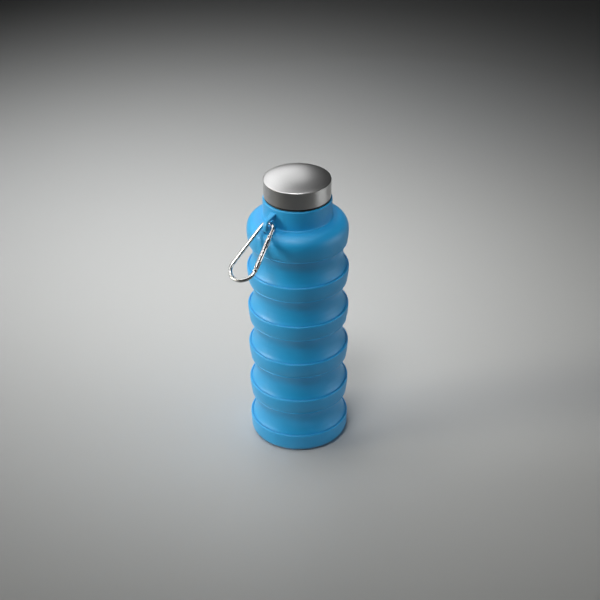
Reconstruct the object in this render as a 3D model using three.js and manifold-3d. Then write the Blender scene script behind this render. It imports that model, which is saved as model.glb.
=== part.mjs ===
// A collapsible half-litre silicone water bottle with a domed steel screw cap and a small carabiner.
// Millimetres, +Z up, origin on the bottle's axis where the base meets the table.
// The silicone wall is one moulding in life. Here it is split where it moves: a base cup, four stiff
// rings and the shoulder with the neck, joined by five thin fold webs that flip as the bottle collapses.
import * as THREE from "three";
import { mergeVertices } from "three/addons/utils/BufferGeometryUtils.js";
import Module from "manifold-3d";

const wasm = await Module();
wasm.setup();

// ---------- Driving dimensions ----------
const ROUND_SIDES = 32; // facets round the bottle

// Bellows: each fold has a sharp lip, a groove with its waist, and the next ring's crease above it.
const LIP_R = 35;
const FIRST_LIP_Z = 14;
const PITCH = 30.7; // from one lip to the next
const RINGS = 4;
const FOLDS = RINGS + 1;
const WAIST_R = 30.8;
const WAIST_RISE = 10.1; // above the lip below
const CREASE_R = 33.7;
const CREASE_RISE = 18.9; // above the lip below
const GROOVE_BOW = 0.6; // how far both sides of the groove are hollowed
const BAND_WALL = 1.8;
const CONE_WALL = 1.6;
const WEB_WALL = 1.0;
const RIM_WIDTH = 1.2; // the lip stands up round a small step
const RIM_HEIGHT = 0.9;

// Base cup
const FOOT_R = 30.5;
const FOOT_CORNER = 5;
const FLOOR_THICKNESS = 3;

// Shoulder and neck
const SHOULDER_R = 34.6;
const SHOULDER_TOP_Z = 173.8;
const SHOULDER_ROUND_R = 11.2; // radial size of the rounded shoulder
const SHOULDER_ROUND_H = 10.2;
const SHOULDER_SQUARENESS = 2.5; // exponent of the shoulder's superellipse
const NECK_R = 23.4;
const NECK_BORE_R = 20.9;
const NECK_TOP_Z = 188;
const SHOULDER_WALL = 2.2;

// Neck insert: a rigid threaded spout held in the silicone neck
const GAP = 0.3; // between parts that touch
const SPOUT_BORE_R = 17.5;
const SKIRT_R = NECK_BORE_R - GAP;
const SKIRT_BOTTOM_Z = 171;
const FLANGE_R = 22.3;
const FLANGE_BOTTOM_Z = NECK_TOP_Z + GAP;
const FLANGE_TOP_Z = 189.3;
const SPOUT_R = 19.3;
const SPOUT_TOP_Z = 198.2;

// Screw thread: two starts, one turn raises the cap by the lead
const THREAD_LEAD = 8;
const THREAD_STARTS = 2;
const THREAD_TURN = 0.7; // share of a turn that each ridge covers
const THREAD_HEIGHT = 1.1;
const THREAD_CLEARANCE = 0.4; // from a crest to the facing wall
const THREAD_BOTTOM_Z = 191.1;
const LINER_THREAD_Z = 191.3;
const THREAD_STEPS = 22;

// Cap: a drawn steel shell over a threaded liner, with a soft seal
const CAP_R = 22.7;
const CAP_BOTTOM_Z = 189.7;
const CAP_EDGE_Z = 201.4; // where the side turns into the dome
const CAP_DOME_H = 3.1;
const CAP_WALL = 0.6;
const CAP_CORNER = 0.8;
const LINER_R = 21.7;
const LINER_ROOT_R = SPOUT_R + THREAD_HEIGHT + THREAD_CLEARANCE;
const LINER_BOTTOM_Z = 190.1;
const LINER_CEILING_Z = 199.8;
const LINER_TOP_Z = 200.9;
const SEAL_INNER_R = 16.6;
const SEAL_OUTER_R = 20.4;
const SEAL_BOTTOM_Z = 198.5;
const SEAL_TOP_Z = 199.5;

// Carrying lug: a small fin with a hole, standing out from the neck
const LUG_AZIMUTH = THREE.MathUtils.degToRad(43); // from the front (-Y) towards -X
const LUG_THICKNESS = 3.2;
const LUG_OUTER_R = 32.4;
const LUG_TOP_Z = 185;
const LUG_HOLE_R = 2.9;
const LUG_HOLE_AT = { r: 26.9, z: 178.3 };

// Carabiner: a bent wire hook with a sprung gate. In its plane, x is towards the gate and z towards the arch.
const WIRE_R = 1.3;
const ARCH_R = 4.6; // the small bend that sits in the lug
const BOW_R = 9.1; // the large bend at the far end
const BEND_SPACING = 31.1; // between the two bends' centres
const WIRE_SIDES = 8;
const WIRE_STEPS = 56;
const CARABINER_AZIMUTH = THREE.MathUtils.degToRad(35.9); // the way it leans, from -Y towards -X
const CARABINER_SLOPE = THREE.MathUtils.degToRad(34); // below the horizontal
const ARCH_TOP = { r: 26.4, azimuth: THREE.MathUtils.degToRad(44), z: 178 }; // wire centre in the lug

// Places along the carabiner's gate side, measured from the small bend towards the large one
const NOSE_END = 5.7;
const GATE_START = 6.2;
const LATCH_AT = 11.3;
const BLADE_TIP = 13;
const UPPER_SLOT_END = 13.7;
const LOWER_SLOT_START = 24.2;
const PIVOT_AT = 26.4;
const GATE_END = 29.2;
const HEEL_START = 30.1;
const GATE_R = 1.65;
const GATE_BORE_R = 1.05;
const SLOT_WIDTH = 1.7;
const BLADE_THICKNESS = 1.1;
const BLADE_WIDTH = 2.4;
const RIVET_R = 0.55;
const RIVET_HEAD_R = 0.95;
const RIVET_HEAD_Y = 1.9;
const RIVET_HEAD_H = 0.35;
const RIVET_HOLE_R = 0.8;
const SPRING_R = 0.62; // to the wire's centre
const SPRING_WIRE_R = 0.15;
const SPRING_TURNS = 6;
const SPRING_START = 15;
const SPRING_END = 20.9;
const PLUNGER_START = 21.4;
const PLUNGER_END = 24.9;
const PLUNGER_R = 0.75;

// ---------- Materials ----------
const material = (colour, roughness, metalness = 0) =>
  new THREE.MeshStandardMaterial({ color: colour, roughness, metalness });
const silicone = material(0x3f9fd0, 0.6);
const steel = material(0xb8bab9, 0.3, 1);
const polypropylene = material(0x26292b, 0.5);
const sealRubber = material(0xd8dcdc, 0.7);
const alloy = material(0xc9cacb, 0.22, 1);
const springSteel = material(0x9a9da0, 0.35, 1);

// ---------- Helpers ----------
const bottle = new THREE.Group();

function add(name, geometry, finish, parent = bottle) {
  const mesh = new THREE.Mesh(geometry, finish);
  mesh.name = name;
  parent.add(mesh);
  return mesh;
}

// Turns a profile of [radius, height] points round +Z. It runs anticlockwise, with r to the right and +Z up.
function turned(profile, sides = ROUND_SIDES) {
  const points = profile.map(([r, z]) => new THREE.Vector2(r, z));
  return new THREE.LatheGeometry(points, sides).rotateX(Math.PI / 2);
}

// The same, for a ring whose profile closes on itself.
const turnedRing = (profile, sides) => turned([...profile, profile[0]], sides);

// A straight run between two [radius, height] points, pushed inwards by bow at its middle.
function bowed(from, to, bow, steps) {
  return Array.from({ length: steps + 1 }, (_, i) => {
    const t = i / steps;
    const r = THREE.MathUtils.lerp(from[0], to[0], t) - bow * 4 * t * (1 - t);
    return [r, THREE.MathUtils.lerp(from[1], to[1], t)];
  });
}

function toManifold(geometry) {
  const bare = new THREE.BufferGeometry().setAttribute("position", geometry.getAttribute("position"));
  if (geometry.index) bare.setIndex(geometry.index);
  const merged = mergeVertices(bare, 1e-4);
  return new wasm.Manifold(
    new wasm.Mesh({
      numProp: 3,
      vertProperties: new Float32Array(merged.attributes.position.array),
      triVerts: new Uint32Array(merged.index.array),
    }),
  );
}

function toGeometry(solid) {
  const mesh = solid.getMesh();
  const geometry = new THREE.BufferGeometry();
  geometry.setAttribute("position", new THREE.BufferAttribute(new Float32Array(mesh.vertProperties), 3));
  geometry.setIndex(new THREE.BufferAttribute(new Uint32Array(mesh.triVerts), 1));
  geometry.computeVertexNormals();
  return geometry;
}

const joined = (...geometries) => toGeometry(geometries.map(toManifold).reduce((a, b) => a.add(b)));
const cut = (geometry, ...tools) =>
  toGeometry(tools.map(toManifold).reduce((left, tool) => left.subtract(tool), toManifold(geometry)));

// A bar of rectangular section bent into a helical ridge: rootR to crestR, narrower at its crest.
function threadRidge(rootR, crestR, startZ, startAngle) {
  const rootHalf = 0.85;
  const crestHalf = 0.5;
  const bar = new THREE.BoxGeometry(1, 1, 1, THREAD_STEPS, 1, 1);
  const place = bar.getAttribute("position");
  const outward = crestR > rootR;
  for (let i = 0; i < place.count; i++) {
    const along = place.getX(i) + 0.5;
    const isOuter = place.getY(i) > 0;
    const isCrest = isOuter === outward;
    const radius = isCrest ? crestR : rootR;
    const half = isCrest ? crestHalf : rootHalf;
    const angle = startAngle + along * THREAD_TURN * 2 * Math.PI;
    const height = startZ + along * THREAD_TURN * THREAD_LEAD + Math.sign(place.getZ(i)) * half;
    place.setXYZ(i, radius * Math.cos(angle), radius * Math.sin(angle), height);
  }
  bar.deleteAttribute("normal");
  bar.deleteAttribute("uv");
  const solid = toManifold(bar);
  return solid.volume() < 0 ? flipped(bar) : bar;
}

// The same surface with its faces turned round.
function flipped(geometry) {
  const index = geometry.index.array;
  for (let i = 0; i < index.length; i += 3) [index[i + 1], index[i + 2]] = [index[i + 2], index[i + 1]];
  return geometry;
}

// ---------- Silicone: the wall's shape over one fold, in heights above the lip below ----------
const lipZ = (k) => FIRST_LIP_Z + k * PITCH;

// Outer side of a lower cone, from its waist up to its crease.
const coneOuter = (baseZ) =>
  bowed([WAIST_R, baseZ + WAIST_RISE], [CREASE_R, baseZ + CREASE_RISE], GROOVE_BOW, 3);
const coneInner = (baseZ) =>
  bowed(
    [CREASE_R - BAND_WALL, baseZ + CREASE_RISE],
    [WAIST_R - CONE_WALL, baseZ + WAIST_RISE],
    GROOVE_BOW,
    2,
  );

// Outer side of a ring's band, from its crease up to its lip.
const bandOuter = (creaseZ, topZ, topR) =>
  [0.25, 0.6, 1].map((t) => [
    CREASE_R + (topR - CREASE_R) * Math.sin((t * Math.PI) / 2) ** 0.81,
    THREE.MathUtils.lerp(creaseZ, topZ, t),
  ]);

// The raised rim inside a lip, and the step behind it where the fold web joins.
const rim = (topZ) => [
  [LIP_R - RIM_WIDTH, topZ],
  [LIP_R - RIM_WIDTH, topZ - RIM_HEIGHT],
  [LIP_R - BAND_WALL, topZ - RIM_HEIGHT],
];

function ringGeometry(k) {
  const base = lipZ(k - 1);
  const top = lipZ(k);
  return turnedRing([
    ...coneOuter(base),
    ...bandOuter(base + CREASE_RISE, top, LIP_R),
    ...rim(top),
    ...coneInner(base),
  ]);
}

function webGeometry(k) {
  const base = lipZ(k - 1);
  const foot = [LIP_R - RIM_WIDTH - GAP, base - RIM_HEIGHT + GAP];
  const head = [WAIST_R, base + WAIST_RISE - GAP];
  const inner = ([r, z]) => [r - WEB_WALL, z];
  return turnedRing([...bowed(foot, head, GROOVE_BOW, 3), ...bowed(inner(head), inner(foot), GROOVE_BOW, 3)]);
}

function baseCupGeometry() {
  const corner = [0, 30, 60, 90].map((degrees) => {
    const a = THREE.MathUtils.degToRad(degrees);
    return [FOOT_R + (LIP_R - 0.3 - FOOT_R) * Math.sin(a), FOOT_CORNER * (1 - Math.cos(a))];
  });
  return turned([
    [0, 0],
    ...corner,
    [LIP_R, FIRST_LIP_Z],
    ...rim(FIRST_LIP_Z),
    [LIP_R - 2.2, FOOT_CORNER + 1.5],
    [FOOT_R - 0.5, FLOOR_THICKNESS],
    [0, FLOOR_THICKNESS],
  ]);
}

// Points of the rounded shoulder, from its side up and in to the neck, shrunk by inset for the inner side.
function shoulderRound(inset, steps) {
  return Array.from({ length: steps + 1 }, (_, i) => {
    const a = (i / steps) * (Math.PI / 2);
    const power = 2 / SHOULDER_SQUARENESS;
    return [
      SHOULDER_R - SHOULDER_ROUND_R + (SHOULDER_ROUND_R - inset) * Math.cos(a) ** power,
      SHOULDER_TOP_Z - SHOULDER_ROUND_H + (SHOULDER_ROUND_H - inset) * Math.sin(a) ** power,
    ];
  });
}

function shoulderGeometry() {
  const base = lipZ(RINGS);
  const roundFoot = SHOULDER_TOP_Z - SHOULDER_ROUND_H;
  return turnedRing([
    ...coneOuter(base),
    ...bandOuter(base + CREASE_RISE, roundFoot, SHOULDER_R).slice(0, -1),
    ...shoulderRound(0, 6),
    [NECK_R, NECK_TOP_Z - 0.6],
    [NECK_R - 0.6, NECK_TOP_Z],
    [NECK_BORE_R, NECK_TOP_Z],
    [NECK_BORE_R, SHOULDER_TOP_Z - SHOULDER_WALL],
    ...shoulderRound(SHOULDER_WALL, 4).reverse().slice(1),
    ...coneInner(base),
  ]);
}

// ---------- Neck insert, seal and cap ----------
const halfPitch = THREAD_LEAD / THREAD_STARTS / 2;
const starts = Array.from({ length: THREAD_STARTS }, (_, i) => (i * 2 * Math.PI) / THREAD_STARTS);

function neckInsertGeometry() {
  const tube = turnedRing([
    [SPOUT_BORE_R, SKIRT_BOTTOM_Z],
    [SKIRT_R, SKIRT_BOTTOM_Z],
    [SKIRT_R, FLANGE_BOTTOM_Z],
    [FLANGE_R, FLANGE_BOTTOM_Z],
    [FLANGE_R, FLANGE_TOP_Z],
    [SPOUT_R, FLANGE_TOP_Z],
    [SPOUT_R, SPOUT_TOP_Z],
    [SPOUT_BORE_R, SPOUT_TOP_Z],
  ]);
  const ridges = starts.map((angle) =>
    threadRidge(SPOUT_R - 0.5, SPOUT_R + THREAD_HEIGHT, THREAD_BOTTOM_Z, angle),
  );
  return joined(tube, ...ridges);
}

function capLinerGeometry() {
  const cup = turned([
    [0, LINER_CEILING_Z],
    [LINER_ROOT_R, LINER_CEILING_Z],
    [LINER_ROOT_R, LINER_BOTTOM_Z],
    [LINER_R, LINER_BOTTOM_Z],
    [LINER_R, LINER_CEILING_Z],
    [LINER_R - 1.2, LINER_TOP_Z],
    [0, LINER_TOP_Z],
  ]);
  const crest = LINER_ROOT_R - THREAD_HEIGHT;
  // The liner's ridges lie half a pitch from the spout's, so that the two threads are in mesh.
  const linerThreadTurn = ((LINER_THREAD_Z - THREAD_BOTTOM_Z - halfPitch) / THREAD_LEAD) * 2 * Math.PI;
  const ridges = starts.map((angle) =>
    threadRidge(LINER_ROOT_R + 0.5, crest, LINER_THREAD_Z, angle + linerThreadTurn),
  );
  return joined(cup, ...ridges);
}

// The dome's outer height at a radius: an arc from the cap's edge to its crown, with a small rounded corner.
function capShellGeometry() {
  const dome = (r, edgeR, edgeZ, rise) => edgeZ + rise * (1 - (r / edgeR) ** 2);
  const domed = (edgeR, edgeZ, rise, shares) =>
    shares.map((s) => [edgeR * s, dome(edgeR * s, edgeR, edgeZ, rise)]);
  const cornerR = CAP_R - CAP_CORNER;
  const outer = domed(
    cornerR,
    CAP_EDGE_Z + CAP_CORNER * 0.5,
    CAP_DOME_H - CAP_CORNER * 0.5,
    [1, 0.8, 0.55, 0.28, 0],
  );
  const inner = domed(
    cornerR - CAP_WALL * 0.5,
    CAP_EDGE_Z - CAP_WALL * 0.3,
    CAP_DOME_H - CAP_WALL * 0.7,
    [0, 0.4, 0.75, 1],
  );
  return turned([
    ...inner,
    [CAP_R - CAP_WALL, CAP_EDGE_Z - CAP_CORNER],
    [CAP_R - CAP_WALL, CAP_BOTTOM_Z],
    [CAP_R, CAP_BOTTOM_Z],
    [CAP_R, CAP_EDGE_Z - CAP_CORNER * 0.4],
    ...outer,
  ]);
}

const sealGeometry = () =>
  turnedRing([
    [SEAL_INNER_R, SEAL_BOTTOM_Z],
    [SEAL_OUTER_R, SEAL_BOTTOM_Z],
    [SEAL_OUTER_R, SEAL_TOP_Z],
    [SEAL_INNER_R, SEAL_TOP_Z],
  ]);

// ---------- Carrying lug ----------
// Drawn in the radial plane (x outwards, y up), then stood up and turned to its azimuth.
function lugGeometry() {
  const innerR = NECK_R + GAP;
  const outline = new THREE.Shape();
  outline.moveTo(innerR, SHOULDER_TOP_Z + GAP);
  outline.lineTo(27.5, SHOULDER_TOP_Z + 0.1);
  outline.lineTo(30.3, SHOULDER_TOP_Z - 0.8);
  outline.quadraticCurveTo(LUG_OUTER_R, 174, LUG_OUTER_R, 176.5);
  outline.quadraticCurveTo(LUG_OUTER_R, 180.6, 29.2, 182.4);
  outline.lineTo(innerR, LUG_TOP_Z);
  outline.closePath();
  const hole = new THREE.Path();
  hole.absarc(LUG_HOLE_AT.r, LUG_HOLE_AT.z, LUG_HOLE_R, 0, 2 * Math.PI, true);
  outline.holes.push(hole);
  const fin = new THREE.ExtrudeGeometry(outline, {
    depth: LUG_THICKNESS,
    bevelEnabled: false,
    curveSegments: 6,
  });
  fin.translate(0, 0, -LUG_THICKNESS / 2).rotateX(Math.PI / 2);
  return fin.rotateZ(-Math.PI / 2 - LUG_AZIMUTH);
}

// ---------- Carabiner, in its own plane ----------
const sideTilt = Math.asin((BOW_R - ARCH_R) / BEND_SPACING);
const sideTop = new THREE.Vector3(ARCH_R * Math.cos(sideTilt), 0, ARCH_R * Math.sin(sideTilt));
// Along the gate side, away from the small bend.
const sideAway = new THREE.Vector3(Math.sin(sideTilt), 0, -Math.cos(sideTilt));
const onSide = (distance) => sideTop.clone().addScaledVector(sideAway, distance);

class PlaneArc extends THREE.Curve {
  constructor(centreZ, radius, from, to) {
    super();
    Object.assign(this, { centreZ, radius, from, to });
  }
  getPoint(t, target = new THREE.Vector3()) {
    const a = THREE.MathUtils.lerp(this.from, this.to, t);
    return target.set(this.radius * Math.cos(a), 0, this.centreZ + this.radius * Math.sin(a));
  }
}

class Helix extends THREE.Curve {
  constructor(radius, length, turns) {
    super();
    Object.assign(this, { radius, length, turns });
  }
  getPoint(t, target = new THREE.Vector3()) {
    const a = t * this.turns * 2 * Math.PI;
    return target.set(this.radius * Math.cos(a), this.radius * Math.sin(a), t * this.length);
  }
}

const mirroredX = (p) => new THREE.Vector3(-p.x, p.y, p.z);

function swept(curve, radius, sides, steps) {
  const section = new THREE.Shape(
    Array.from({ length: sides }, (_, i) => {
      const a = (i / sides) * 2 * Math.PI;
      return new THREE.Vector2(radius * Math.cos(a), radius * Math.sin(a));
    }),
  );
  return new THREE.ExtrudeGeometry(section, { steps, extrudePath: curve, bevelEnabled: false });
}

// Puts a solid that runs along its own +Z onto the gate side, starting at a distance from the small bend.
function alongSide(geometry, distance) {
  const start = onSide(distance);
  return geometry
    .rotateY(Math.PI - sideTilt)
    .translate(start.x, start.y, start.z);
}

// A flat blade in the carabiner's plane, from one distance along the gate side to another.
function blade(from, to, width = BLADE_WIDTH, thickness = BLADE_THICKNESS) {
  const bar = new THREE.BoxGeometry(width, thickness, to - from).translate(0, 0, (to - from) / 2);
  return alongSide(bar, from);
}

// A short rod across the carabiner's plane.
const crossRod = (distance, radius, length, sides = 10) => {
  const at = onSide(distance);
  return new THREE.CylinderGeometry(radius, radius, length, sides).translate(at.x, at.y, at.z);
};

function hookGeometry() {
  const bowZ = -BEND_SPACING;
  const sideBottom = new THREE.Vector3(BOW_R * Math.cos(sideTilt), 0, bowZ + BOW_R * Math.sin(sideTilt));
  const path = new THREE.CurvePath();
  path.add(new THREE.LineCurve3(onSide(NOSE_END), sideTop));
  path.add(new PlaneArc(0, ARCH_R, sideTilt, Math.PI - sideTilt));
  path.add(new THREE.LineCurve3(mirroredX(sideTop), mirroredX(sideBottom)));
  path.add(new PlaneArc(bowZ, BOW_R, Math.PI - sideTilt, 2 * Math.PI + sideTilt));
  path.add(new THREE.LineCurve3(sideBottom, onSide(HEEL_START)));
  const wire = swept(path, WIRE_R, WIRE_SIDES, WIRE_STEPS);
  const noseBlade = blade(NOSE_END - 0.8, BLADE_TIP);
  const heelBlade = blade(PIVOT_AT, HEEL_START + 0.8);
  const eye = crossRod(PIVOT_AT, BLADE_WIDTH / 2, BLADE_THICKNESS, 12);
  const solid = joined(wire, noseBlade, heelBlade, eye);
  // The latch notch is open towards the inside, so that the gate's rivet leaves it as the gate opens.
  const notch = blade(LATCH_AT - 0.95, LATCH_AT + 0.95, 3, 3).translate(-0.75, 0, 0);
  return cut(solid, notch, crossRod(PIVOT_AT, RIVET_HOLE_R, 4));
}

function gateGeometry() {
  const length = GATE_END - GATE_START;
  const rod = alongSide(
    new THREE.CylinderGeometry(GATE_R, GATE_R, length, 14).rotateX(Math.PI / 2).translate(0, 0, length / 2),
    GATE_START,
  );
  const boreLength = LOWER_SLOT_START - SPRING_START + 1.5;
  const bore = alongSide(
    new THREE.CylinderGeometry(GATE_BORE_R, GATE_BORE_R, boreLength, 10)
      .rotateX(Math.PI / 2)
      .translate(0, 0, boreLength / 2),
    SPRING_START - 0.5,
  );
  return cut(
    rod,
    bore,
    blade(GATE_START - 1, UPPER_SLOT_END, 6, SLOT_WIDTH),
    blade(LOWER_SLOT_START, GATE_END + 1, 6, SLOT_WIDTH),
    crossRod(LATCH_AT, RIVET_HOLE_R, 6),
    crossRod(PIVOT_AT, RIVET_HOLE_R, 6),
  );
}

function rivetGeometry(distance) {
  const end = RIVET_HEAD_Y + RIVET_HEAD_H;
  const at = onSide(distance);
  const half = [
    [0, -end],
    [RIVET_HEAD_R * 0.7, -end],
    [RIVET_HEAD_R, -RIVET_HEAD_Y],
    [RIVET_R, -RIVET_HEAD_Y],
  ];
  const profile = [...half, ...half.map(([r, z]) => [r, -z]).reverse()];
  return turned(profile, 10).rotateX(Math.PI / 2).translate(at.x, at.y, at.z);
}

const springGeometry = () =>
  alongSide(
    swept(new Helix(SPRING_R, SPRING_END - SPRING_START, SPRING_TURNS), SPRING_WIRE_R, 4, SPRING_TURNS * 8),
    SPRING_START,
  );

const plungerGeometry = () =>
  alongSide(
    turned(
      [
        [0, 0],
        [PLUNGER_R, 0],
        [PLUNGER_R, PLUNGER_END - PLUNGER_START - 0.5],
        [PLUNGER_R * 0.4, PLUNGER_END - PLUNGER_START],
        [0, PLUNGER_END - PLUNGER_START],
      ],
      10,
    ),
    PLUNGER_START,
  );

// ---------- Assembly ----------
add("base_cup", baseCupGeometry(), silicone);
for (let k = 1; k <= RINGS; k++) add(`bellows_ring_${k}`, ringGeometry(k), silicone);
for (let k = 1; k <= FOLDS; k++) add(`fold_web_${k}`, webGeometry(k), silicone);
add("shoulder_and_neck", shoulderGeometry(), silicone);
add("carrying_lug", lugGeometry(), silicone);
add("neck_insert", neckInsertGeometry(), polypropylene);
add("cap_seal", sealGeometry(), sealRubber);
add("cap_liner", capLinerGeometry(), polypropylene);
add("cap_shell", capShellGeometry(), steel);

const carabiner = new THREE.Group();
const outward = new THREE.Vector3(-Math.sin(CARABINER_AZIMUTH), -Math.cos(CARABINER_AZIMUTH), 0);
const towardsGate = new THREE.Vector3(Math.cos(CARABINER_AZIMUTH), -Math.sin(CARABINER_AZIMUTH), 0);
const towardsArch = outward
  .clone()
  .multiplyScalar(-Math.cos(CARABINER_SLOPE))
  .add(new THREE.Vector3(0, 0, Math.sin(CARABINER_SLOPE)));
const across = towardsArch.clone().cross(towardsGate);
const archTop = new THREE.Vector3(
  -ARCH_TOP.r * Math.sin(ARCH_TOP.azimuth),
  -ARCH_TOP.r * Math.cos(ARCH_TOP.azimuth),
  ARCH_TOP.z,
);
carabiner.setRotationFromMatrix(new THREE.Matrix4().makeBasis(towardsGate, across, towardsArch));
carabiner.position.copy(archTop).addScaledVector(towardsArch, -ARCH_R);
bottle.add(carabiner);

add("carabiner_hook", hookGeometry(), alloy, carabiner);
add("carabiner_gate", gateGeometry(), alloy, carabiner);
add("gate_pivot_rivet", rivetGeometry(PIVOT_AT), alloy, carabiner);
add("gate_latch_rivet", rivetGeometry(LATCH_AT), alloy, carabiner);
add("gate_spring", springGeometry(), springSteel, carabiner);
add("gate_plunger", plungerGeometry(), springSteel, carabiner);

export default bottle;
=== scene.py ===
"""A collapsible silicone water bottle with a steel screw cap and a carabiner, on a pale studio floor.

Profiles are written in millimetres as (radius, height) and turned round +Z; everything made is in metres.
"""

import math

import bmesh
import bpy
from mathutils import Matrix, Vector


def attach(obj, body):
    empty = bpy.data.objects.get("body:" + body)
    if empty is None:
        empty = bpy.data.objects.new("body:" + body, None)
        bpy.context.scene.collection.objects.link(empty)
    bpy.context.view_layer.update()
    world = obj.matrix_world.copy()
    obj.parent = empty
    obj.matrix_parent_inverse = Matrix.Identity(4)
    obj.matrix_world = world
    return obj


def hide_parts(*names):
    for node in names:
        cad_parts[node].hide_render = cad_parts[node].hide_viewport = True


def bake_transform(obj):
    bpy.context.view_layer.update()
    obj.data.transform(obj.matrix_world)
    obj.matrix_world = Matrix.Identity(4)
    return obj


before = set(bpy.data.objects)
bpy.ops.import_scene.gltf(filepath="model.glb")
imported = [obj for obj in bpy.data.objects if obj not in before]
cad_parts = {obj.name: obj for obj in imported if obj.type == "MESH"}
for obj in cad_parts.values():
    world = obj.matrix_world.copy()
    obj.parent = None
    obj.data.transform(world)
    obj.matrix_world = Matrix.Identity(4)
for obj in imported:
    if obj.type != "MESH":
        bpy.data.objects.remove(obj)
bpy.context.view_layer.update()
MM = 0.001
FULL_TURN = 2 * math.pi

# ---------------------------------------------------------------- dimensions, the same as the CAD model's
LIP_R = 35.0
FIRST_LIP_Z = 14.0
PITCH = 30.7
RINGS = 4
FOLDS = RINGS + 1
WAIST_R = 30.8
WAIST_RISE = 10.1
CREASE_R = 33.7
CREASE_RISE = 18.9
CONE_BOW = 0.6
BAND_WALL = 1.8
CONE_WALL = 1.6
WEB_WALL = 1.0
RIM_WIDTH = 1.2
RIM_HEIGHT = 0.9

FOOT_R = 30.5
FOOT_CORNER = 5.0
FLOOR_THICKNESS = 3.0

SHOULDER_R = 34.6
SHOULDER_TOP_Z = 173.8
SHOULDER_ROUND_R = 11.2
SHOULDER_ROUND_H = 10.2
SHOULDER_SQUARENESS = 2.5
SHOULDER_WALL = 2.2
NECK_R = 23.4
NECK_BORE_R = 20.9
NECK_TOP_Z = 188.0

SPOUT_BORE_R = 17.5
SKIRT_R = 20.6
SKIRT_BOTTOM_Z = 171.0
FLANGE_R = 22.3
FLANGE_BOTTOM_Z = 188.3
FLANGE_TOP_Z = 189.3
SPOUT_R = 19.3
SPOUT_TOP_Z = 198.2
THREAD_LEAD = 8.0
THREAD_HEIGHT = 1.1
THREAD_TURN = 0.7
SPOUT_THREAD_Z = 191.1
LINER_THREAD_Z = 191.3

CAP_R = 22.7
CAP_BOTTOM_Z = 189.7
CAP_EDGE_Z = 201.4
CAP_DOME_H = 3.1
CAP_WALL = 0.6
LINER_R = 21.7
LINER_ROOT_R = 20.8
LINER_BOTTOM_Z = 190.1
LINER_CEILING_Z = 199.8
LINER_TOP_Z = 200.9
SEAL_INNER_R = 16.6
SEAL_OUTER_R = 20.4
SEAL_BOTTOM_Z = 198.5
SEAL_TOP_Z = 199.5

LUG_AZIMUTH = math.radians(43)
LUG_THICKNESS = 3.2
LUG_OUTER_R = 32.4
LUG_TOP_Z = 185.0
LUG_HOLE_R = 2.9
LUG_HOLE = (26.9, 178.3)

WIRE_R = 1.3
ARCH_R = 4.6
BOW_R = 9.1
BEND_SPACING = 31.1
CARABINER_AZIMUTH = math.radians(35.9)
CARABINER_SLOPE = math.radians(34)
ARCH_TOP_R = 26.4
ARCH_TOP_AZIMUTH = math.radians(44)
ARCH_TOP_Z = 178.0
# Places along the gate side, counted from the end of the arch.
NOSE_END = 5.7
GATE_START = 6.2
LATCH_AT = 11.3
BLADE_TIP = 13.0
UPPER_SLOT_END = 13.7
GATE_BORE_START = 14.5
LOWER_SLOT_START = 24.2
PIVOT_AT = 26.4
GATE_END = 29.2
HEEL_START = 30.1
GATE_R = 1.65
GATE_BORE_R = 1.05
SLOT_WIDTH = 1.7
BLADE_THICKNESS = 1.1
BLADE_WIDTH = 2.4
RIVET_R = 0.55
RIVET_HEAD_R = 0.95
RIVET_HEAD_Y = 1.75
RIVET_HEAD_H = 0.4
RIVET_HOLE_R = 0.8

# ---------------------------------------------------------------- small shapes that only the skin shows
SIDES = 240
RIM_INNER_R = LIP_R - RIM_WIDTH
RIM_OUTER_ROUND = 0.92
RIM_INNER_ROUND = 0.27
WEB_FOOT_R = RIM_INNER_R - 0.75
WEB_BOW = 0.35
WAIST_SOFTNESS = 0.3
WAIST_SOFT_REACH = 3.0
WAIST_FINE_REACH = 2.0
BAND_CURVE = 0.81
LEDGE_DEPTH = 0.2
LEDGE_SHARE = 0.35
BASE_DRAFT = 0.3
FOOT_RING_WIDTH = 3.4
FOOT_RECESS = 0.35
NECK_FILLET = 1.3
NECK_LIP_ROUND = 0.8
CAP_EDGE_ROUND = 0.14
CAP_LOWER_EDGE = 0.12
DOME_R = CAP_R - 0.1
DOME_START_Z = CAP_EDGE_Z + 0.2
LUG_EDGE_ROUND = 0.55
BLADE_ROOT = 0.8
BLADE_BEVEL = 0.18
GATE_EDGE = 0.35

# The two halves of the mould meet in the lug's plane and leave a fine line down the silicone.
PARTING_TURNS = [(-math.pi / 2 - LUG_AZIMUTH - half) % FULL_TURN for half in (0, math.pi)]
PARTING_HEIGHT = 0.07
PARTING_WIDTH = 0.22


def lip_z(k):
    return FIRST_LIP_Z + k * PITCH


# ---------------------------------------------------------------- mesh helpers
def new_object(name, mesh, material, sharp_degrees=35):
    """Puts a mesh in the scene with its material, smooth but for edges sharper than the angle given."""
    obj = bpy.data.objects.new(name, mesh)
    bpy.context.scene.collection.objects.link(obj)
    mesh.materials.clear()
    mesh.materials.append(material)
    mesh.shade_smooth()
    mesh.set_sharp_from_angle(angle=math.radians(sharp_degrees))
    return obj


def finished_mesh(name, bm):
    bmesh.ops.remove_doubles(bm, verts=bm.verts, dist=1e-7)
    bmesh.ops.recalc_face_normals(bm, faces=bm.faces)
    mesh = bpy.data.meshes.new(name)
    bm.to_mesh(mesh)
    bm.free()
    return mesh


def even_turns(sides):
    return [FULL_TURN * i / sides for i in range(sides)]


def turns_with_parting_lines():
    """Even steps round the bottle, with a few extra beside each parting line."""
    half = PARTING_WIDTH / LIP_R
    extra = [c + half * s for c in PARTING_TURNS for s in (-2, -1, -0.45, 0, 0.45, 1, 2)]
    kept = [a for a in even_turns(SIDES) if all(abs(a - c) > half * 2.5 for c in PARTING_TURNS)]
    return sorted(a % FULL_TURN for a in kept + extra)


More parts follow.
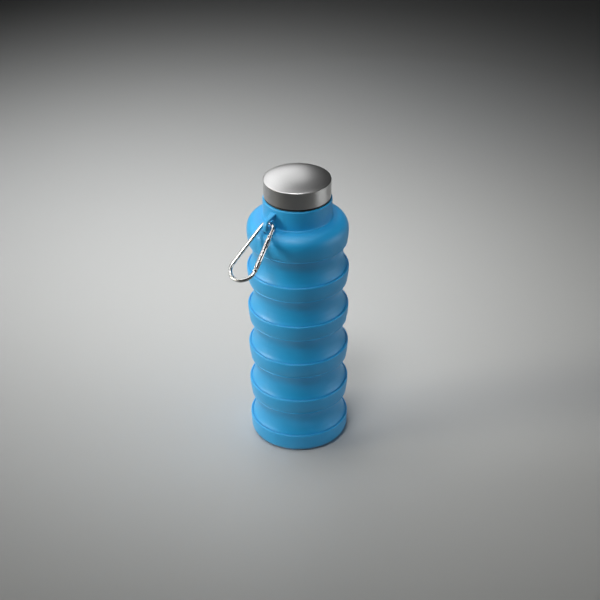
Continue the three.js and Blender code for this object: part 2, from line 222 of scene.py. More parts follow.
def parting_rise(angle):
    """How far the parting line stands proud at an angle round the bottle, in millimetres."""
    rise = 0.0
    for centre in PARTING_TURNS:
        off = abs((angle - centre + math.pi) % FULL_TURN - math.pi) * LIP_R / PARTING_WIDTH
        rise = max(rise, PARTING_HEIGHT * max(0.0, 1 - off))
    return rise


def circle(bm, radius, height, turns, rises=None):
    """A row of vertices round Z, from millimetres. On the axis it is one vertex, repeated."""
    if radius < 1e-6:
        return [bm.verts.new((0, 0, height * MM))] * len(turns)
    row = []
    for a, rise in zip(turns, rises or [0.0] * len(turns)):
        reach = (radius + rise) * MM
        row.append(bm.verts.new((reach * math.cos(a), reach * math.sin(a), height * MM)))
    return row


def bridge(bm, rows, closed=False):
    """Joins each row of vertices to the next with faces, and a closed skin's last row to its first."""
    pairs = list(zip(rows, rows[1:])) + ([(rows[-1], rows[0])] if closed else [])
    for lower, upper in pairs:
        for i in range(len(lower)):
            j = (i + 1) % len(lower)
            corners = list(dict.fromkeys([lower[i], lower[j], upper[j], upper[i]]))
            if len(corners) > 2:
                bm.faces.new(corners)


def bridge_with_ends(bm, rows):
    bridge(bm, rows)
    bm.faces.new(list(reversed(rows[0])))
    bm.faces.new(rows[-1])


def turned(name, profile, material, closed=True, ridged=0, sharp_degrees=35):
    """Turns a profile round +Z. A closed one comes back to its start; an open one has both ends on the axis.

    The first `ridged` points of the profile are an outer face that carries the parting line.
    """
    bm = bmesh.new()
    turns = turns_with_parting_lines() if ridged else even_turns(SIDES)
    rises = [parting_rise(a) for a in turns]
    rows = [circle(bm, r, z, turns, rises if i < ridged else None) for i, (r, z) in enumerate(profile)]
    bridge(bm, rows, closed)
    return new_object(name, finished_mesh(name, bm), material, sharp_degrees)


def arc(centre, radii, degrees):
    """Points on a circle or an ellipse, at the angles given."""
    turns = [math.radians(d) for d in degrees]
    return [(centre[0] + radii[0] * math.cos(a), centre[1] + radii[1] * math.sin(a)) for a in turns]


def quadratic(a, b, c, steps):
    """Points on a quadratic curve from a to c that is pulled towards b."""
    out = []
    for i in range(steps + 1):
        t = i / steps
        out.append(tuple((1 - t) ** 2 * p + 2 * t * (1 - t) * q + t * t * s for p, q, s in zip(a, b, c)))
    return out


def rounded(points, steps=5):
    """A closed path of (r, z, corner radius), with an arc in place of each corner."""
    out = []
    count = len(points)
    for i, (r, z, radius) in enumerate(points):
        here = Vector((r, z))
        u = (Vector(points[i - 1][:2]) - here).normalized()
        v = (Vector(points[(i + 1) % count][:2]) - here).normalized()
        half_angle = math.acos(max(-1, min(1, u.dot(v)))) / 2
        centre = here + (u + v).normalized() * (radius / math.sin(half_angle))
        start = here + u * (radius / math.tan(half_angle)) - centre
        end = here + v * (radius / math.tan(half_angle)) - centre
        opening = start.angle(end)
        for s in range(steps + 1):
            t = s / steps
            weights = math.sin((1 - t) * opening), math.sin(t * opening)
            p = centre + (start * weights[0] + end * weights[1]) / math.sin(opening)
            out.append((p.x, p.y))
    return out


# ---------------------------------------------------------------- profiles of the silicone
def web_radius(h):
    """Outer radius of the fold web at a height above its lip."""
    t = h / WAIST_RISE
    return WEB_FOOT_R + (WAIST_R - WEB_FOOT_R) * t - WEB_BOW * 4 * t * (1 - t)


def cone_radius(h):
    """Outer radius of a ring's lower cone at a height above the lip below."""
    t = (h - WAIST_RISE) / (CREASE_RISE - WAIST_RISE)
    return WAIST_R + (CREASE_R - WAIST_R) * t - CONE_BOW * 4 * t * (1 - t)


def groove_radius(h):
    """The groove's outer radius, with the waist's corner softened."""
    a, b = web_radius(h), cone_radius(h)
    if abs(h - WAIST_RISE) > WAIST_SOFT_REACH:
        return max(a, b)
    return (a + b + math.sqrt((a - b) ** 2 + WAIST_SOFTNESS**2)) / 2


def spread(start, end, count):
    return [start + (end - start) * i / (count - 1) for i in range(count)]


def cone_outer(base):
    """From the waist up to just under the crease, outside. Rows are closer together by the waist."""
    fine_end = WAIST_RISE + WAIST_FINE_REACH
    heights = spread(WAIST_RISE, fine_end, 9)[:-1] + spread(fine_end, CREASE_RISE - 0.25, 12)
    return [(groove_radius(h), base + h) for h in heights]


def cone_inner(base):
    """From under the crease down to the waist, inside."""
    heights = spread(CREASE_RISE, WAIST_RISE, 14)
    wall = spread(BAND_WALL, CONE_WALL, 14)
    return [(cone_radius(h) - w, base + h) for h, w in zip(heights, wall)]


def crease(base):
    """The crease is a fine bead between the cone and the band, with a narrow ledge on top."""
    bead = [(0.06, -0.18), (0.14, -0.06), (0.14, 0.05), (0.05, 0.19)]
    ledge = [(-0.07, 0.33), (-0.15, 0.45), (-0.18, 0.6)]
    return [(CREASE_R + out, base + CREASE_RISE + up) for out, up in bead + ledge]


def band_outer(crease_z, top_z, top_r, last=1.0):
    """The band above a crease, outside: it starts on the bead's ledge and swells towards its top."""
    out = []
    for t in (0.06, 0.1, 0.14, 0.2, 0.27, 0.35, 0.44, 0.53, 0.62, 0.71, 0.8, 0.88, 0.95, 1.0):
        if t <= last:
            swell = (top_r - CREASE_R) * math.sin(t * math.pi / 2) ** BAND_CURVE
            ledge = LEDGE_DEPTH * max(0.0, 1 - t / LEDGE_SHARE) ** 1.5
            out.append((CREASE_R + swell - ledge, crease_z + (top_z - crease_z) * t))
    return out


def rim(top_z):
    """The raised rim of a lip, rounded on both edges, and the wall inside it down to the band."""
    outer_centre = (LIP_R - RIM_OUTER_ROUND, top_z - RIM_OUTER_ROUND)
    inner_centre = (RIM_INNER_R + RIM_INNER_ROUND, top_z - RIM_INNER_ROUND)
    out = arc(outer_centre, (RIM_OUTER_ROUND, RIM_OUTER_ROUND), range(0, 91, 15))
    out += arc(inner_centre, (RIM_INNER_ROUND, RIM_INNER_ROUND), (90, 110, 130, 155, 180))
    out += [(RIM_INNER_R, top_z - RIM_HEIGHT), (RIM_INNER_R - 0.25, top_z - RIM_HEIGHT - 0.25)]
    return out + [(LIP_R - BAND_WALL, top_z - 1.6)]


def ring_profile(k):
    """A ring's profile, and how many of its points are on the outside."""
    base, top = lip_z(k - 1), lip_z(k)
    outer = cone_outer(base) + crease(base) + band_outer(base + CREASE_RISE, top - RIM_OUTER_ROUND, LIP_R)
    band_foot = [(LIP_R - BAND_WALL, base + CREASE_RISE + 4)]
    return outer + rim(top) + band_foot + cone_inner(base), len(outer)


def web_profile(k):
    """A fold web's profile, with a shallow notch inside the lip that it grows from."""
    base = lip_z(k - 1)
    notch = [(0.15, -1.2), (-0.02, -0.42), (-0.22, -0.46), (-0.45, -0.4), (-0.62, -0.26), (-0.77, -0.1)]
    fine_start = WAIST_RISE - WAIST_FINE_REACH
    heights = spread(0, fine_start, 14) + spread(fine_start, WAIST_RISE, 9)[1:]
    outer = [(RIM_INNER_R + out, base + up) for out, up in notch]
    outer += [(groove_radius(h), base + h) for h in heights]
    inner = [(groove_radius(h) - WEB_WALL, base + h) for h in reversed(heights)]
    return outer + inner + [(LIP_R - BAND_WALL - 0.2, base - 1.6)], len(outer)


def base_profile():
    ring_inner_r = FOOT_R - FOOT_RING_WIDTH
    wall_foot_r = LIP_R - BASE_DRAFT
    outer = [(0, FOOT_RECESS), (ring_inner_r - 0.6, FOOT_RECESS), (ring_inner_r, 0.0), (FOOT_R, 0.0)]
    outer += arc((FOOT_R, FOOT_CORNER), (wall_foot_r - FOOT_R, FOOT_CORNER), range(-80, 1, 10))
    wall_height = FIRST_LIP_Z - RIM_OUTER_ROUND - FOOT_CORNER
    for t in spread(0.1, 1, 8):
        outer.append((LIP_R - BASE_DRAFT * (1 - t) ** 2, FOOT_CORNER + wall_height * t))
    inner = [
        (LIP_R - 2.0, FOOT_CORNER + 3),
        (FOOT_R + 1.4, FLOOR_THICKNESS + 2),
        (FOOT_R - 0.6, FLOOR_THICKNESS + 0.4),
        (FOOT_R - 3, FLOOR_THICKNESS),
        (0, FLOOR_THICKNESS),
    ]
    return outer + rim(FIRST_LIP_Z) + inner, len(outer)


def shoulder_round(inset, steps):
    """The shoulder's squarish rounding from its side to its top, drawn in by an inset."""
    centre_r, centre_z = SHOULDER_R - SHOULDER_ROUND_R, SHOULDER_TOP_Z - SHOULDER_ROUND_H
    width, height = SHOULDER_ROUND_R - inset, SHOULDER_ROUND_H - inset
    power = 2 / SHOULDER_SQUARENESS
    out = []
    for a in spread(0, math.pi / 2, steps + 1):
        across, up = max(0, math.cos(a)) ** power, math.sin(a) ** power
        out.append((centre_r + width * across, centre_z + height * up))
    return out


def shoulder_profile():
    base = lip_z(RINGS)
    round_foot = SHOULDER_TOP_Z - SHOULDER_ROUND_H
    outer = cone_outer(base) + crease(base) + band_outer(base + CREASE_RISE, round_foot, SHOULDER_R, 0.9)
    outer += shoulder_round(0, 30)[:-2]
    fillet_centre = (NECK_R + NECK_FILLET, SHOULDER_TOP_Z + NECK_FILLET)
    outer += arc(fillet_centre, (NECK_FILLET, NECK_FILLET), range(-90, -181, -15))
    outer += [(NECK_R, z) for z in spread(SHOULDER_TOP_Z + 3, NECK_TOP_Z - 0.9, 6)]
    lip_centre = (NECK_R - NECK_LIP_ROUND, NECK_TOP_Z - NECK_LIP_ROUND)
    lip = arc(lip_centre, (NECK_LIP_ROUND, NECK_LIP_ROUND), range(0, 91, 15))
    bore = [
        (NECK_BORE_R + 0.3, NECK_TOP_Z),
        (NECK_BORE_R, NECK_TOP_Z - 0.3),
        (NECK_BORE_R, SHOULDER_TOP_Z - SHOULDER_WALL),
    ]
    under = list(reversed(shoulder_round(SHOULDER_WALL, 16)))[1:]
    return outer + lip + bore + under + cone_inner(base), len(outer)


# ---------------------------------------------------------------- materials
def node(nodes, kind, **values):
    """A shader node with the values given, each of them an input or a setting."""
    made = nodes.new(kind)
    for key, value in values.items():
        if key in made.inputs:
            made.inputs[key].default_value = value
        else:
            setattr(made, key, value)
    return made


def ramp(nodes, stops, interpolation="LINEAR"):
    made = nodes.new("ShaderNodeValToRGB")
    made.color_ramp.interpolation = interpolation
    elements = made.color_ramp.elements
    while len(elements) < len(stops):
        elements.new(0.5)
    for element, (position, colour) in zip(elements, stops):
        element.position = position
        element.color = (*colour, 1)
    return made


def grey(value):
    return (value, value, value)


class Finish:
    """A material in the making: a Principled shader, and the texture steps that the finishes share."""

    def __init__(self, name, colour, roughness, metallic=0.0, **sockets):
        self.material = bpy.data.materials.new(name)
        self.material.use_nodes = True
        self.nodes = self.material.node_tree.nodes
        self.link = self.material.node_tree.links.new
        self.inputs = self.nodes["Principled BSDF"].inputs
        self.inputs["Base Color"].default_value = (*colour, 1)
        self.inputs["Roughness"].default_value = roughness
        self.inputs["Metallic"].default_value = metallic
        for socket, value in sockets.items():
            self.inputs[socket.replace("_", " ")].default_value = value

    def place(self):
        return node(self.nodes, "ShaderNodeTexCoord").outputs["Object"]

    def noise(self, place, **values):
        made = node(self.nodes, "ShaderNodeTexNoise", **values)
        self.link(place, made.inputs["Vector"])
        return made.outputs["Fac"]

    def graded(self, socket, value, *stops):
        """Feeds a socket of the shader from a value, through a ramp."""
        made = ramp(self.nodes, stops)
        self.link(value, made.inputs["Fac"])
        self.link(made.outputs["Color"], self.inputs[socket])

    def bumped(self, value, strength, distance):
        made = node(self.nodes, "ShaderNodeBump", Strength=strength, Distance=distance)
        self.link(value, made.inputs["Height"])
        self.link(made.outputs["Normal"], self.inputs["Normal"])


def silicone_material():
    """Moulded silicone: a slightly uneven satin, with soft clouding and the mould's fine blasted grain."""
    satin = {"Specular_IOR_Level": 0.7, "Sheen_Weight": 0.16, "Sheen_Roughness": 0.5}
    finish = Finish("silicone", (0.002, 0.355, 0.74), 0.5, **satin)
    place = finish.place()
    cloud = finish.noise(place, Scale=55.0, Detail=3.0, Roughness=0.55)
    grain = finish.noise(place, Scale=3800.0, Detail=2.0, Roughness=0.6)
    finish.graded("Base Color", cloud, (0.3, (0.001, 0.347, 0.73)), (0.7, (0.003, 0.363, 0.75)))
    finish.graded("Roughness", cloud, (0.3, grey(0.46)), (0.7, grey(0.53)))
    finish.bumped(grain, 0.12, 0.00006)
    return finish.material


def steel_material(name, anisotropic, smooth, coarse):
    """Drawn steel with a grain round its axis; the roughness wanders between smooth and coarse."""
    finish = Finish(name, (0.6, 0.6, 0.595), smooth, 1.0, Anisotropic=anisotropic)
    nodes, link = finish.nodes, finish.link
    # The grain runs round the axis: streaks change with radius and height, and hardly with the angle.
    split = node(nodes, "ShaderNodeSeparateXYZ")
    link(finish.place(), split.inputs["Vector"])
    flat = node(nodes, "ShaderNodeCombineXYZ")
    link(split.outputs["X"], flat.inputs["X"])
    link(split.outputs["Y"], flat.inputs["Y"])
    radius = node(nodes, "ShaderNodeVectorMath", operation="LENGTH")
    link(flat.outputs["Vector"], radius.inputs[0])
    angle = node(nodes, "ShaderNodeMath", operation="ARCTAN2")
    link(split.outputs["Y"], angle.inputs[0])
    link(split.outputs["X"], angle.inputs[1])
    slow = node(nodes, "ShaderNodeMath", operation="MULTIPLY")
    slow.inputs[1].default_value = 0.0012
    link(angle.outputs["Value"], slow.inputs[0])
    lines = node(nodes, "ShaderNodeCombineXYZ")
    link(radius.outputs["Value"], lines.inputs["X"])
    link(slow.outputs["Value"], lines.inputs["Y"])
    link(split.outputs["Z"], lines.inputs["Z"])
    brush = finish.noise(lines.outputs["Vector"], Scale=5200.0, Detail=3.0, Roughness=0.7)
    finish.graded("Base Color", brush, (0.25, grey(0.55)), (0.75, grey(0.64)))
    finish.graded("Roughness", brush, (0.25, grey(smooth)), (0.75, grey(coarse)))
    finish.bumped(brush, 0.1, 0.00003)
    tangent = node(nodes, "ShaderNodeTangent", direction_type="RADIAL", axis="Z")
    link(tangent.outputs["Tangent"], finish.inputs["Tangent"])
    return finish.material


def plated_material(name, colour, roughness):
    """Plated wire, with faint rubbed marks."""
    finish = Finish(name, colour, roughness, 1.0)
    marks = finish.noise(finish.place(), Scale=420.0, Detail=4.0, Roughness=0.65)
    finish.graded("Roughness", marks, (0.35, grey(roughness * 0.8)), (0.75, grey(roughness * 1.7)))
    finish.graded("Base Color", marks, (0.3, tuple(c * 0.95 for c in colour)), (0.7, colour))
    return finish.material


def plastic_material(name, colour, roughness):
    """A plain moulded plastic or rubber with a fine grain."""
    finish = Finish(name, colour, roughness)
    grain = finish.noise(finish.place(), Scale=2200.0, Detail=2.0)
    finish.graded("Roughness", grain, (0.3, grey(roughness * 0.85)), (0.7, grey(roughness * 1.15)))
    finish.bumped(grain, 0.15, 0.00005)
    return finish.material


SILICONE = silicone_material()
SIDE_STEEL = steel_material("brushed_steel", 0.7, 0.17, 0.23)
DOME_STEEL = steel_material("spun_steel", 0.15, 0.3, 0.36)
PLATED = plated_material("plated_wire", (0.62, 0.62, 0.61), 0.19)
SPRING_STEEL = plated_material("spring_steel", (0.5, 0.5, 0.5), 0.3)
DARK_PLASTIC = plastic_material("dark_polypropylene", (0.02, 0.022, 0.025), 0.42)
SEAL_RUBBER = plastic_material("seal_silicone", (0.72, 0.74, 0.74), 0.5)


def takes_over(piece, cad_node, body):
    """A piece stands in for a CAD node: the node is hidden and the piece rides on the node's body."""
    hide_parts(cad_node)
    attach(piece, body)


# ---------------------------------------------------------------- silicone body
def silicone_skin(name, shape, closed=True):
    profile, outer_count = shape
    return turned(f"{name}_skin", profile, SILICONE, closed, outer_count)


def make_silicone_body():
    takes_over(silicone_skin("base_cup", base_profile(), closed=False), "base_cup", "base")
    for k in range(1, RINGS + 1):
        name = f"bellows_ring_{k}"
        takes_over(silicone_skin(name, ring_profile(k)), name, f"ring_{k}")

    # A web hides its CAD node and rides on no body, so it stays where it is made.
    for k in range(1, FOLDS + 1):
        name = f"fold_web_{k}"
        web = silicone_skin(name, web_profile(k))
        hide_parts(name)
        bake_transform(web)

    takes_over(silicone_skin("shoulder", shoulder_profile()), "shoulder_and_neck", "shoulder")


make_silicone_body()


# ---------------------------------------------------------------- carrying lug
def lug_outline():
    """The fin's outline in its radial plane, anticlockwise, as (radius, height)."""
    root_r = NECK_R - 0.8
    widest = (LUG_OUTER_R, 176.5)
    points = [
        (root_r, SHOULDER_TOP_Z - 1.5),
        (27.0, SHOULDER_TOP_Z - 1.6),
        (30.2, SHOULDER_TOP_Z - 2.6),
    ]
    points += quadratic((30.4, SHOULDER_TOP_Z - 1.0), (LUG_OUTER_R, 174.0), widest, 8)
    points += quadratic(widest, (LUG_OUTER_R, 180.6), (29.2, 182.4), 12)[1:]
    return points + [(root_r, LUG_TOP_Z + 0.3)]


def lug_drawing():
    """The lug as a flat mesh with rounded edges: x is the radius, y the height, z the thickness."""
    curve = bpy.data.curves.new("lug_curve", "CURVE")
    curve.dimensions = "2D"
    curve.fill_mode = "BOTH"
    curve.extrude = (LUG_THICKNESS / 2 - LUG_EDGE_ROUND) * MM
    curve.bevel_depth = LUG_EDGE_ROUND * MM
    curve.bevel_resolution = 4
    curve.offset = -LUG_EDGE_ROUND * MM
    hole = arc(LUG_HOLE, (LUG_HOLE_R, -LUG_HOLE_R), range(0, 360, 9))
    for points in (lug_outline(), hole):
        spline = curve.splines.new("POLY")
        spline.points.add(len(points) - 1)
        spline.use_cyclic_u = True
        for point, (r, z) in zip(spline.points, points):
            point.co = (r * MM, z * MM, 0, 1)
    maker = bpy.data.objects.new("lug_maker", curve)
    bpy.context.scene.collection.objects.link(maker)
    bpy.context.view_layer.update()
    mesh = bpy.data.meshes.new_from_object(maker.evaluated_get(bpy.context.evaluated_depsgraph_get()))
    bpy.data.objects.remove(maker)
    bpy.data.curves.remove(curve)
    return mesh


def make_lug():
    """Stands the drawing up in the lug's plane, and flares it where it meets the neck and the shoulder."""
    neck_flare, neck_reach = 0.5, 0.7
    shoulder_flare, shoulder_reach = 0.45, 0.6
    outwards = Vector((-math.sin(LUG_AZIMUTH), -math.cos(LUG_AZIMUTH), 0))
    up = Vector((0, 0, 1))
    across = outwards.cross(up)
    mesh = lug_drawing()
    for vertex in mesh.vertices:
        r, z, y = vertex.co
        flare = 1 + neck_flare * math.exp(-max(0.0, r / MM - NECK_R) / neck_reach)
        flare += shoulder_flare * math.exp(-max(0.0, z / MM - SHOULDER_TOP_Z) / shoulder_reach)
        vertex.co = outwards * r + up * z + across * (y * flare)
    bm = bmesh.new()
    bm.from_mesh(mesh)
    return new_object("carrying_lug_skin", finished_mesh("carrying_lug_skin", bm), SILICONE, 50)


takes_over(make_lug(), "carrying_lug", "shoulder")


# ---------------------------------------------------------------- neck insert, seal and cap
def thread_ridge(bm, root_r, crest_r, start_z, start_angle, steps=84):
    """Adds a tapered helical ridge that runs out at both ends."""
    sign = 1 if crest_r > root_r else -1
    rows = []
    for i in range(steps + 1):
        t = i / steps
        fade = min(1.0, min(t, 1 - t) * 9)
        fade = fade * fade * (3 - 2 * fade)
        angle = start_angle + t * THREAD_TURN * FULL_TURN
        middle = start_z + t * THREAD_TURN * THREAD_LEAD
        height = abs(crest_r - root_r) * (0.12 + 0.88 * fade)
        flank = height * 0.75
        row = []
        for out, up in [(0, -0.85), (flank, -0.6), (height, -0.4), (height, 0.4), (flank, 0.6), (0, 0.85)]:
            r = (root_r + sign * out) * MM
            row.append(bm.verts.new((r * math.cos(angle), r * math.sin(angle), (middle + up) * MM)))
        rows.append(row)
    bridge_with_ends(bm, rows)


def add_threads(obj, root_r, crest_r, start_z, turn_offset=0.0):
    """Adds the two starts of a thread to a turned piece."""
    bm = bmesh.new()
    bm.from_mesh(obj.data)
    for start in (0, math.pi):
        thread_ridge(bm, root_r, crest_r, start_z, start + turn_offset)
    bmesh.ops.recalc_face_normals(bm, faces=bm.faces)
    bm.to_mesh(obj.data)
    bm.free()
    obj.data.shade_smooth()
    obj.data.set_sharp_from_angle(angle=math.radians(35))


def make_insert():
    outline = [
        (SPOUT_BORE_R, SKIRT_BOTTOM_Z, 0.4),
        (SKIRT_R, SKIRT_BOTTOM_Z, 0.6),
        (SKIRT_R, FLANGE_BOTTOM_Z, 0.15),
        (FLANGE_R, FLANGE_BOTTOM_Z, 0.3),
        (FLANGE_R, FLANGE_TOP_Z, 0.3),
        (SPOUT_R, FLANGE_TOP_Z, 0.3),
        (SPOUT_R, SPOUT_TOP_Z, 0.5),
        (SPOUT_BORE_R, SPOUT_TOP_Z, 0.5),
    ]
    insert = turned("neck_insert_moulding", rounded(outline), DARK_PLASTIC)
    add_threads(insert, SPOUT_R - 0.3, SPOUT_R + THREAD_HEIGHT, SPOUT_THREAD_Z)
    return insert


def make_liner():
    """The cap's threaded liner. Its thread lies a quarter of a lead away from the spout's, in mesh."""
    outline = [
        (LINER_ROOT_R, LINER_CEILING_Z, 0.3),
        (LINER_ROOT_R, LINER_BOTTOM_Z, 0.3),
        (LINER_R, LINER_BOTTOM_Z, 0.3),
        (LINER_R, LINER_CEILING_Z, 0.4),
        (LINER_R - 1.2, LINER_TOP_Z, 0.4),
    ]
    profile = [(0, LINER_CEILING_Z)] + rounded(outline) + [(0, LINER_TOP_Z)]
    liner = turned("cap_liner_moulding", profile, DARK_PLASTIC, closed=False)
    turn_offset = (LINER_THREAD_Z - SPOUT_THREAD_Z - THREAD_LEAD / 4) / THREAD_LEAD * FULL_TURN
    add_threads(liner, LINER_ROOT_R + 0.3, LINER_ROOT_R - THREAD_HEIGHT, LINER_THREAD_Z, turn_offset)
    return liner


def make_seal():
    corners = [
        (SEAL_INNER_R, SEAL_BOTTOM_Z),
        (SEAL_OUTER_R, SEAL_BOTTOM_Z),
        (SEAL_OUTER_R, SEAL_TOP_Z),
        (SEAL_INNER_R, SEAL_TOP_Z),
    ]
    return turned("cap_seal_ring", rounded([(r, z, 0.4) for r, z in corners]), SEAL_RUBBER)


def dome_point(share, drop=0.0):
    """A point of the dome at a share of its radius: flat in the middle, steeper near the edge."""
    rise = (CAP_EDGE_Z + CAP_DOME_H - DOME_START_Z) * (1 - share**2.3) ** 0.92
    return (DOME_R * share, DOME_START_Z + rise - drop)


def cap_profile():
    """The outer face up to the crown, then the inner face from its crown back down to the lower edge."""
    lower_edge_z = CAP_BOTTOM_Z + CAP_LOWER_EDGE
    bore_r = CAP_R - CAP_WALL
    side_heights = (lower_edge_z, CAP_BOTTOM_Z + 0.3, CAP_EDGE_Z - 3, CAP_EDGE_Z - 0.12)
    outer = [(CAP_R - CAP_LOWER_EDGE, CAP_BOTTOM_Z)] + [(CAP_R, z) for z in side_heights]
    edge_centre = (CAP_R - CAP_EDGE_ROUND, CAP_EDGE_Z - 0.3 * CAP_EDGE_ROUND)
    outer += arc(edge_centre, (CAP_EDGE_ROUND, CAP_EDGE_ROUND), range(0, 61, 12))
    near_edge = (0.985, 0.97, 0.94, 0.9, 0.85, 0.78)
    outer += [dome_point(share) for share in near_edge + (0.7, 0.6, 0.5, 0.4, 0.3, 0.2, 0.1, 0)]
    inner = [dome_point(share, CAP_WALL) for share in (0, 0.2, 0.4, 0.6, 0.78, 0.9, 0.97)]
    inner += [(bore_r, CAP_EDGE_Z - 0.6), (bore_r, lower_edge_z), (bore_r + CAP_LOWER_EDGE, CAP_BOTTOM_Z)]
    return outer + inner


def make_cap():
    cap = turned("cap_shell_drawn", cap_profile(), SIDE_STEEL, sharp_degrees=40)
    cap.data.materials.append(DOME_STEEL)
    for face in cap.data.polygons:
        face.material_index = 1 if face.center.z > (CAP_EDGE_Z - 0.1) * MM else 0
    return cap


takes_over(make_insert(), "neck_insert", "shoulder")
takes_over(make_liner(), "cap_liner", "cap")
takes_over(make_seal(), "cap_seal", "cap_seat")
takes_over(make_cap(), "cap_shell", "cap")


# ---------------------------------------------------------------- carabiner
# It is made in its own plane, in millimetres: x towards the gate side, z towards the arch, y across.
TILT = math.asin((BOW_R - ARCH_R) / BEND_SPACING)
SIDE_TOP = Vector((ARCH_R * math.cos(TILT), 0, ARCH_R * math.sin(TILT)))
SIDE_AWAY = Vector((math.sin(TILT), 0, -math.cos(TILT)))
ACROSS = Vector((0, 1, 0))


def carabiner_matrix():
    """From the carabiner's own plane to its place in the lug, sloping out over the shoulder."""
    out = Vector((-math.sin(CARABINER_AZIMUTH), -math.cos(CARABINER_AZIMUTH), 0))
    towards_gate = Vector((math.cos(CARABINER_AZIMUTH), -math.sin(CARABINER_AZIMUTH), 0))
    towards_arch = -out * math.cos(CARABINER_SLOPE) + Vector((0, 0, math.sin(CARABINER_SLOPE)))
    across = towards_arch.cross(towards_gate)
    top_x, top_y = -ARCH_TOP_R * math.sin(ARCH_TOP_AZIMUTH), -ARCH_TOP_R * math.cos(ARCH_TOP_AZIMUTH)
    origin = (Vector((top_x, top_y, ARCH_TOP_Z)) - towards_arch * ARCH_R) * MM
    matrix = Matrix((towards_gate, across, towards_arch)).transposed().to_4x4()
    return Matrix.Translation(origin) @ matrix


CARABINER = carabiner_matrix()


def on_side(distance):
    return SIDE_TOP + SIDE_AWAY * distance


def side_frame(distance):
    """A matrix in metres whose +Z runs along the gate side, +Y across the carabiner and +X inwards."""
    x = ACROSS.cross(SIDE_AWAY)
    turn = Matrix((x, ACROSS, SIDE_AWAY)).transposed().to_4x4()
    return Matrix.Translation(on_side(distance) * MM) @ turn


def solid_from(name, mesh, matrix=None):
    if matrix is not None:
        mesh.transform(matrix)
    obj = bpy.data.objects.new(name, mesh)
    bpy.context.scene.collection.objects.link(obj)
    return obj


def boxed(name, distance, length, width, thickness, offset_x=0.0, bevel=0.0):
    """A bar along the gate side: width in the carabiner's plane, thickness across it."""
    bm = bmesh.new()
    bmesh.ops.create_cube(bm, size=1.0)
    for v in bm.verts:
        x, y, z = v.co
        v.co = Vector(((x * width + offset_x) * MM, y * thickness * MM, (z + 0.5) * length * MM))
    if bevel:
        bmesh.ops.bevel(bm, geom=bm.edges[:], offset=bevel * MM, segments=3, affect="EDGES", profile=0.5)
    return solid_from(name, finished_mesh(name, bm), side_frame(distance))


def cylinder(name, radius, length, sides):
    bm = bmesh.new()
    size = {"radius1": radius * MM, "radius2": radius * MM, "depth": length * MM}
    bmesh.ops.create_cone(bm, cap_ends=True, segments=sides, **size)
    return finished_mesh(name, bm)


def rod_along(name, distance, radius, length, sides=32):
    """A cylinder that starts at a place on the gate side and runs along it."""
    mesh = cylinder(name, radius, length, sides)
    mesh.transform(Matrix.Translation((0, 0, length / 2 * MM)))
    return solid_from(name, mesh, side_frame(distance))


def rod_across(name, distance, radius, length, sides=32):
    """A cylinder across the carabiner, with its middle at a place on the gate side."""
    mesh = cylinder(name, radius, length, sides)
    mesh.transform(Matrix.Rotation(math.pi / 2, 4, "X"))
    return solid_from(name, mesh, side_frame(distance))


def combine(target, operation, *others):
    """Joins solids to the target, or cuts them out of it."""
    for other in others:
        modifier = target.modifiers.new(operation.lower(), "BOOLEAN")
        modifier.operation = operation
        modifier.solver = "EXACT"
        modifier.object = other
        evaluated = target.evaluated_get(bpy.context.evaluated_depsgraph_get())
        mesh = bpy.data.meshes.new_from_object(evaluated)
        target.modifiers.clear()
        old = target.data
        target.data = mesh
        bpy.data.meshes.remove(old)
        bpy.data.objects.remove(other)
    return target


def placed(obj, name, material):
    """Moves a finished carabiner piece from its own plane to its place on the bottle."""
    mesh = obj.data
    mesh.name = name
    bpy.data.objects.remove(obj)
    mesh.transform(CARABINER)
    return new_object(name, mesh, material, 30)


def wire_path():
    """Points along the hook's wire, from its nose round to its heel."""
    points = []

    def line(a, b, count):
        points.extend(a.lerp(b, i / count) for i in range(count))

    def bend(centre_z, radius, start, end, count):
        for i in range(count):
            a = start + (end - start) * i / count
            points.append(Vector((radius * math.cos(a), 0, centre_z + radius * math.sin(a))))

    side_low = Vector((BOW_R * math.cos(TILT), 0, -BEND_SPACING + BOW_R * math.sin(TILT)))
    spine_top = Vector((-SIDE_TOP.x, 0, SIDE_TOP.z))
    spine_low = Vector((-side_low.x, 0, side_low.z))
    line(on_side(NOSE_END), SIDE_TOP, 12)
    bend(0, ARCH_R, TILT, math.pi - TILT, 32)
    line(spine_top, spine_low, 12)
    bend(-BEND_SPACING, BOW_R, math.pi - TILT, FULL_TURN + TILT, 44)
    line(side_low, on_side(HEEL_START), 6)
    points.append(on_side(HEEL_START))
    return points


def wire_radius(from_end):
    """The wire swells to a collar just before each end, and its end is rounded over."""
    collar = 0.42 * math.exp(-(((from_end - 0.75) / 0.62) ** 2))
    rounding = 0.4 * max(0.0, 1 - from_end / 0.4) ** 2
    return WIRE_R + collar - rounding


def with_collars(points):
    """The wire's path with extra points near both ends, and its radius at each point."""
    lengths = [0.0]
    for a, b in zip(points, points[1:]):
        lengths.append(lengths[-1] + (b - a).length)
    total = lengths[-1]
    near_ends = (0.08, 0.16, 0.25, 0.35, 0.55, 0.8, 1.1, 1.5, 2.0, 2.6)
    out, radii = [], []
    for along in sorted(set(lengths) | {end for d in near_ends for end in (d, total - d)}):
        i = max(j for j in range(len(lengths)) if lengths[j] <= along + 1e-9)
        if i == len(points) - 1:
            out.append(points[-1].copy())
        else:
            share = (along - lengths[i]) / (lengths[i + 1] - lengths[i])
            out.append(points[i].lerp(points[i + 1], share))
        radii.append(wire_radius(min(along, total - along)))
    return out, radii


